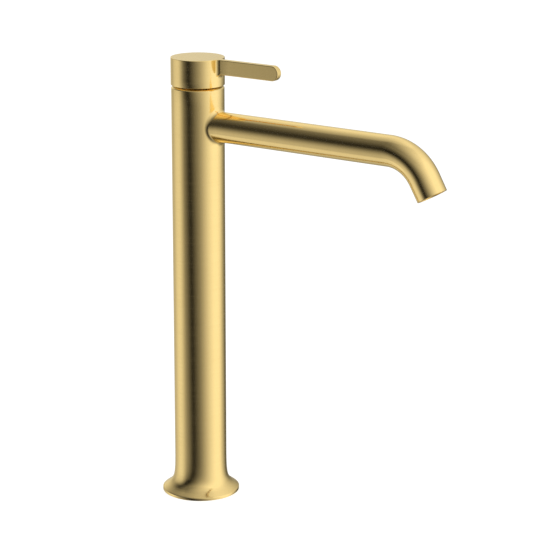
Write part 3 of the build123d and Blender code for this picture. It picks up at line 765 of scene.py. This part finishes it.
moulding = {
    # the grain's detail and roughness, the cloud's scale per metre, how much of the shade
    # each brings, and how far each changes the gloss
    "grainNoise": (3.0, 0.6), "cloudScale": 90, "cloudShade": 0.6, "grainShade": 0.4,
    "grainGloss": 0.15, "cloudGloss": 0.1,
}
mouldings = {
    "blackRubber": {"colour": (0.035, 0.035, 0.035), "shade": (0.022, 0.022, 0.023),
                    "roughness": 0.62, "grain": 2600, "depth": 0.00002, "ior": 1.5},
    "whiteAcetal": {"colour": (0.82, 0.82, 0.80), "shade": (0.76, 0.76, 0.73),
                    "roughness": 0.42, "grain": 1800, "depth": 0.00001, "ior": 1.48},
    "greyAcetal": {"colour": (0.37, 0.38, 0.40), "shade": (0.32, 0.33, 0.35),
                   "roughness": 0.42, "grain": 1800, "depth": 0.00001, "ior": 1.48},
    "redAcetal": {"colour": (0.62, 0.055, 0.045), "shade": (0.52, 0.04, 0.035),
                  "roughness": 0.4, "grain": 1800, "depth": 0.00001, "ior": 1.48},
    "lappedCeramic": {"colour": (0.90, 0.90, 0.87), "shade": (0.85, 0.85, 0.82),
                      "roughness": 0.2, "grain": 3200, "depth": 0.000003, "ior": 1.76},
}


def mouldedPart(name, values):
    # Moulded or lapped surface: a fine grain in the bump, soft cloudy colour and gloss.
    recipe = Recipe(bpy.data.materials.new(name))
    place = recipe.place()
    grain = recipe.noise(place, values["grain"], *moulding["grainNoise"])
    cloud = recipe.noise(place, moulding["cloudScale"])
    shade = cloud * moulding["cloudShade"] + grain * moulding["grainShade"]
    roughness = (values["roughness"] + (grain - noiseMean) * moulding["grainGloss"]
                 + (cloud - noiseMean) * moulding["cloudGloss"])
    return recipe.finish({
        "Base Color": recipe.mixColour(shade, values["colour"], values["shade"]),
        "Roughness": roughness, "Normal": recipe.bump(grain, values["depth"]),
        "IOR": values["ior"]})


rawBrass, drawnCopper, turnedSteel = [machinedMetal(name, values)
                                      for name, values in metals.items()]
blackRubber, whiteAcetal, greyAcetal, redAcetal, lappedCeramic = [
    mouldedPart(name, values) for name, values in mouldings.items()]

view = {
    "location": (0.96298, -1.27477, 0.60788), "target": (0.0419, 0.02959, 0.17952),
    "lens": 146.24, "sensor": 36.0,
}
studio = {
    "shown": 1.1, "level": 0.6,        # the world's strength where it is seen, and as light
    "floorHalf": 8.0, "floorColour": 0.86, "floorGlow": 0.52,
    "tentRadius": 7.0, "tentAcross": 180, "tentUp": 90,
    "lampAim": (0, 0, 0.1),
}
windows = {
    # soft openings in a black tent round the set: degrees right of the camera, degrees up,
    # strength, the angle from the middle where it has fallen to half, and its softness; a
    # negative strength is a shade over the others
    "lowRight": (85, -41, 1.24, 21, 60),
    "lowLeft": (-97, -41, 0.50, 40, 24),
    "highBehind": (180, 37, 0.38, 33, 29),
    "behind": (-162, 15, 0.95, 14, 41),
    "highRight": (64, 39, 1.16, 56, 58),
    "left": (-105, -4, 0.42, 28, 17),
    "lowShade": (129, -33, -0.13, 25, 7),
    "lowBehind": (-167, -32, 0.35, 31, 17),
    "below": (-100, -45, 0.28, 15, 4),
    "farLeft": (-167, 61, 0.13, 29, 4),
    "highShade": (-19, 71, -0.08, 32, 4),
}
lamps = {
    # each: place, size, watts
    "keyLamp": ((1.4, -2.2, 2.6), 1.6, 22),
    "fillLamp": ((-2.4, -1.2, 1.8), 1.6, 10),
}


def addWorld():
    # White where the camera or the metal sees it, and dimmer where it only lights.
    world = bpy.data.worlds.new("studioWorld")
    bpy.context.scene.world = world
    recipe = Recipe(world)
    rays = {name: recipe.add("ShaderNodeLightPath", out=name) for name in (
        "Is Camera Ray", "Is Glossy Ray", "Is Transmission Ray")}
    seen = recipe.add("ShaderNodeClamp", None, {0: sum(rays.values())})
    strength = studio["level"] + seen * (studio["shown"] - studio["level"])
    background = recipe.add("ShaderNodeBackground", None, {
        "Color": (1, 1, 1, 1), "Strength": strength})
    recipe.add("ShaderNodeOutputWorld", None, {"Surface": background}, None)
    world.cycles.sampling_method = "NONE"


def addTent():
    # A dome round the set, seen only in the metal. It lets the white through where its
    # windows are: each adds strength (1 - eased t), with t the angle from its middle, less
    # half, over twice the softness, plus a half.
    across = np.radians(np.linspace(-180, 180, studio["tentAcross"] + 1))[None, :]
    up = np.radians(np.linspace(-90, 90, studio["tentUp"] + 1))[:, None]
    camera = math.atan2(view["location"][1], view["location"][0])

    def direction(right, rise):
        turn = camera + right
        return np.stack([np.cos(rise) * np.cos(turn), np.cos(rise) * np.sin(turn),
                         np.sin(rise) + 0 * turn], axis=-1)

    outward = direction(across, up)
    clear = np.zeros(outward.shape[:2])
    for right, rise, strength, half, soft in windows.values():
        middle = direction(math.radians(right), math.radians(rise))
        away = np.degrees(np.arccos(np.clip(outward @ middle, -1, 1)))
        clear += strength * (1 - eased((away - half) / (2 * soft) + 1 / 2))
    clear = np.clip(clear / studio["shown"], 0, 1)
    points = studio["tentRadius"] * outward.reshape(-1, 3)
    mesh = bpy.data.meshes.new("tent")
    mesh.from_pydata(points, [], gridCells(*clear.shape).tolist())
    mesh.attributes.new("clear", "FLOAT", "POINT").data.foreach_set(
        "value", clear.ravel().astype(np.float32))
    recipe = Recipe(bpy.data.materials.new("tentCloth"))
    black = recipe.add("ShaderNodeEmission", None, {"Strength": 0.0})
    nothing = recipe.add("ShaderNodeBsdfTransparent")
    cloth = recipe.add("ShaderNodeMixShader", None, {
        0: recipe.attribute("clear"), 1: black, 2: nothing})
    recipe.add("ShaderNodeOutputMaterial", None, {"Surface": cloth}, None)
    mesh.materials.append(recipe.owner)
    tent = intoScene("tent", mesh)
    tent.visible_camera = tent.visible_diffuse = tent.visible_shadow = False


def addFloor():
    # A pale sheet that takes the shadow and glows towards the camera alone.
    half = studio["floorHalf"]
    mesh = bpy.data.meshes.new("floor")
    mesh.from_pydata([(-half, -half, 0), (half, -half, 0), (half, half, 0), (-half, half, 0)],
                     [], [(0, 1, 2, 3)])
    recipe = Recipe(bpy.data.materials.new("paleFloor"))
    seen = recipe.add("ShaderNodeLightPath", out="Is Camera Ray")
    shade = (studio["floorColour"],) * 3
    diffuse = recipe.add("ShaderNodeBsdfDiffuse", None, {"Color": (*shade, 1)})
    glow = recipe.add("ShaderNodeEmission", None, {"Strength": seen * studio["floorGlow"]})
    surface = recipe.add("ShaderNodeAddShader", None, {0: diffuse, 1: glow})
    recipe.add("ShaderNodeOutputMaterial", None, {"Surface": surface}, None)
    mesh.materials.append(recipe.owner)
    floor = intoScene("floor", mesh)
    floor.visible_glossy = False


def aimed(thing, place, target):
    # Stands a lamp or the camera at a place, turned towards a target.
    aim = Vector(target) - Vector(place)
    thing.location, thing.rotation_euler = place, aim.to_track_quat("-Z", "Y").to_euler()


def addLamps():
    for name, (place, size, power) in lamps.items():
        lamp = bpy.data.lights.new(name, "AREA")
        lamp.size, lamp.energy = size, power
        holder = intoScene(name, lamp)
        holder.visible_glossy = False      # the metal shows the tent's windows instead
        aimed(holder, place, studio["lampAim"])


def addCamera():
    lens = bpy.data.cameras.new("camera")
    lens.lens, lens.sensor_width = view["lens"], view["sensor"]
    camera = intoScene("camera", lens)
    aimed(camera, view["location"], view["target"])
    bpy.context.scene.camera = camera


addWorld()
addTent()
addFloor()
addLamps()
addCamera()
bpy.context.scene.view_settings.view_transform = "Standard"
print("studio: set")

turnedGold = brushedGold("turnedGold", *gold["turned"])
drawnGold = brushedGold("drawnGold", *gold["drawn"])
skins = {
    # piece: its body, the CAD node it stands for, its slot and its finish
    footPiece: ("body", "foot", "brushed_gold", turnedGold),
    columnPiece: ("body", "column", "brushed_gold", turnedGold),
    spoutPiece: ("body", "spout_tube", "brushed_gold", drawnGold),
    aeratorPiece: ("body", "aerator_housing", "raw_brass", rawBrass),
    coverRingPiece: ("body", "cover_ring", "brushed_gold", turnedGold),
    handlePiece: ("handle", "lever_handle", "brushed_gold", turnedGold),
    plugPiece: ("handle", "screw_plug", "brushed_gold", turnedGold),
}
for piece, (body, node, slot, finish) in skins.items():
    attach(piece, body)
    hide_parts(node)
    piece.data.materials.append(finish)

innerFinishes = {
    # finish: the CAD nodes that keep their own shape and take it
    rawBrass: ["inlet_block", "valve_body", "cartridge_nut", "handle_insert"],
    drawnCopper: ["hot_riser", "cold_riser"],
    turnedSteel: ["stem", "stem_pin", "handle_grub_screw"],
    blackRubber: ["base_gasket", "riser_seals", "valve_body_seals", "aerator_seal",
                  "cartridge_seals", "disc_seals"],
    whiteAcetal: ["aerator_insert", "cartridge_base", "cartridge_housing"],
    greyAcetal: ["disc_carrier", "turret"],
    redAcetal: ["temperature_stop_ring"],
    lappedCeramic: ["fixed_disc", "moving_disc"],
}
for finish, nodes in innerFinishes.items():
    for node in nodes:
        mesh = frame["nodes"][node].data
        mesh.materials.clear()
        mesh.materials.append(finish)
print("finishes: set on", sum(len(nodes) for nodes in innerFinishes.values()), "inner nodes")
